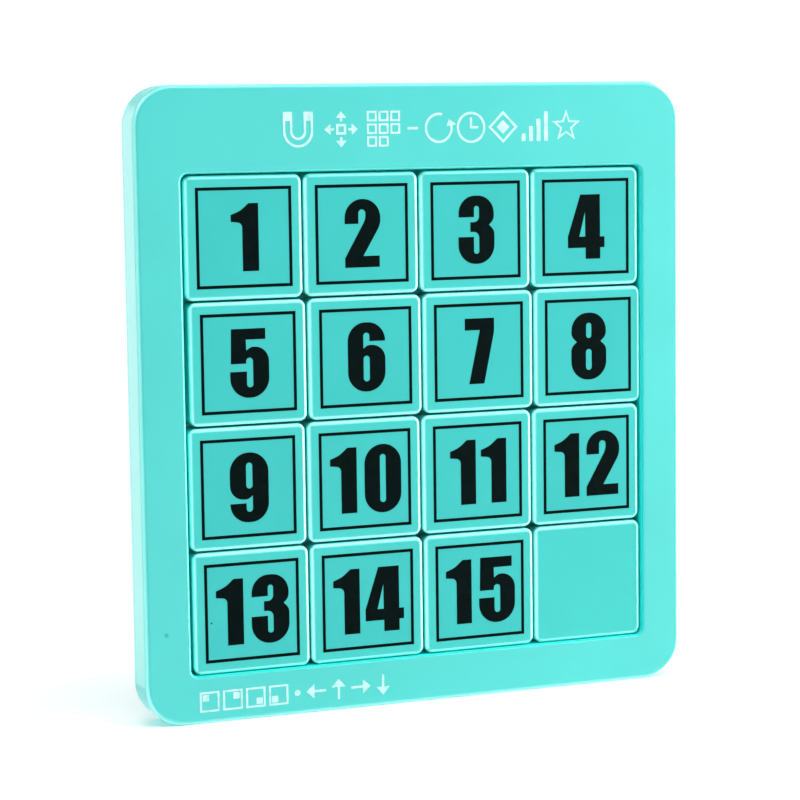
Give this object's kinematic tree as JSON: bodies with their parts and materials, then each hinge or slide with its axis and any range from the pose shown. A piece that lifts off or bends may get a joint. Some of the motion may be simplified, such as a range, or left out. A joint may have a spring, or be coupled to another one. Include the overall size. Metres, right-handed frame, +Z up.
{
  "type": "sliding tile puzzle",
  "caption": "Shallow rounded tray whose square recess is filled with magnetic number tiles and one blank tile, each of which lifts off the steel-backed floor.",
  "frame": {"origin": "middle of the lower edge of the tray, half way through its thickness", "axes": "+Z up along the tray's height, +X along the rows towards the higher numbers, the numbered face looks to -Y and the back cover to +Y"},
  "size_m": [0.1128, 0.0086, 0.1206],
  "materials": {
    "tray_plastic": "satin moulded ABS, turquoise",
    "tile_plastic": "satin moulded ABS, turquoise, slightly deeper than the tray",
    "steel": "cold-rolled sheet, zinc plated",
    "magnet": "nickel-plated disc magnet",
    "screw_steel": "nickel-plated screw",
    "black_ink": "pad-printed black ink",
    "white_ink": "pad-printed white ink"
  },
  "bodies": {
    "tray": {"front_frame": "tray_plastic", "steel_sheet": "steel", "back_cover": "tray_plastic", "cover_screws": "screw_steel"},
    "tile_01": {"tile_01_cap": "tile_plastic", "tile_01_base": "tile_plastic", "tile_01_magnet": "magnet"},
    "tile_02": {"tile_02_cap": "tile_plastic", "tile_02_base": "tile_plastic", "tile_02_magnet": "magnet"},
    "tile_03": {"tile_03_cap": "tile_plastic", "tile_03_base": "tile_plastic", "tile_03_magnet": "magnet"},
    "tile_04": {"tile_04_cap": "tile_plastic", "tile_04_base": "tile_plastic", "tile_04_magnet": "magnet"},
    "tile_05": {"tile_05_cap": "tile_plastic", "tile_05_base": "tile_plastic", "tile_05_magnet": "magnet"},
    "tile_06": {"tile_06_cap": "tile_plastic", "tile_06_base": "tile_plastic", "tile_06_magnet": "magnet"},
    "tile_07": {"tile_07_cap": "tile_plastic", "tile_07_base": "tile_plastic", "tile_07_magnet": "magnet"},
    "tile_08": {"tile_08_cap": "tile_plastic", "tile_08_base": "tile_plastic", "tile_08_magnet": "magnet"},
    "tile_09": {"tile_09_cap": "tile_plastic", "tile_09_base": "tile_plastic", "tile_09_magnet": "magnet"},
    "tile_10": {"tile_10_cap": "tile_plastic", "tile_10_base": "tile_plastic", "tile_10_magnet": "magnet"},
    "tile_11": {"tile_11_cap": "tile_plastic", "tile_11_base": "tile_plastic", "tile_11_magnet": "magnet"},
    "tile_12": {"tile_12_cap": "tile_plastic", "tile_12_base": "tile_plastic", "tile_12_magnet": "magnet"},
    "tile_13": {"tile_13_cap": "tile_plastic", "tile_13_base": "tile_plastic", "tile_13_magnet": "magnet"},
    "tile_14": {"tile_14_cap": "tile_plastic", "tile_14_base": "tile_plastic", "tile_14_magnet": "magnet"},
    "tile_15": {"tile_15_cap": "tile_plastic", "tile_15_base": "tile_plastic", "tile_15_magnet": "magnet"},
    "tile_blank": {"tile_blank_cap": "tile_plastic", "tile_blank_base": "tile_plastic", "tile_blank_magnet": "magnet"}
  },
  "joints": [
    {"name": "tile_01_lift", "type": "slide", "parent": "tray", "child": "tile_01", "axis": [0, -1, 0], "range_m": [0, 0.02]},
    {"name": "tile_02_lift", "type": "slide", "parent": "tray", "child": "tile_02", "axis": [0, -1, 0], "range_m": [0, 0.02]},
    {"name": "tile_03_lift", "type": "slide", "parent": "tray", "child": "tile_03", "axis": [0, -1, 0], "range_m": [0, 0.02]},
    {"name": "tile_04_lift", "type": "slide", "parent": "tray", "child": "tile_04", "axis": [0, -1, 0], "range_m": [0, 0.02]},
    {"name": "tile_05_lift", "type": "slide", "parent": "tray", "child": "tile_05", "axis": [0, -1, 0], "range_m": [0, 0.02]},
    {"name": "tile_06_lift", "type": "slide", "parent": "tray", "child": "tile_06", "axis": [0, -1, 0], "range_m": [0, 0.02]},
    {"name": "tile_07_lift", "type": "slide", "parent": "tray", "child": "tile_07", "axis": [0, -1, 0], "range_m": [0, 0.02]},
    {"name": "tile_08_lift", "type": "slide", "parent": "tray", "child": "tile_08", "axis": [0, -1, 0], "range_m": [0, 0.02]},
    {"name": "tile_09_lift", "type": "slide", "parent": "tray", "child": "tile_09", "axis": [0, -1, 0], "range_m": [0, 0.02]},
    {"name": "tile_10_lift", "type": "slide", "parent": "tray", "child": "tile_10", "axis": [0, -1, 0], "range_m": [0, 0.02]},
    {"name": "tile_11_lift", "type": "slide", "parent": "tray", "child": "tile_11", "axis": [0, -1, 0], "range_m": [0, 0.02]},
    {"name": "tile_12_lift", "type": "slide", "parent": "tray", "child": "tile_12", "axis": [0, -1, 0], "range_m": [0, 0.02]},
    {"name": "tile_13_lift", "type": "slide", "parent": "tray", "child": "tile_13", "axis": [0, -1, 0], "range_m": [0, 0.02]},
    {"name": "tile_14_lift", "type": "slide", "parent": "tray", "child": "tile_14", "axis": [0, -1, 0], "range_m": [0, 0.02]},
    {"name": "tile_15_lift", "type": "slide", "parent": "tray", "child": "tile_15", "axis": [0, -1, 0], "range_m": [0, 0.02]},
    {"name": "tile_blank_lift", "type": "slide", "parent": "tray", "child": "tile_blank", "axis": [0, -1, 0], "range_m": [0, 0.02]}
  ]
}
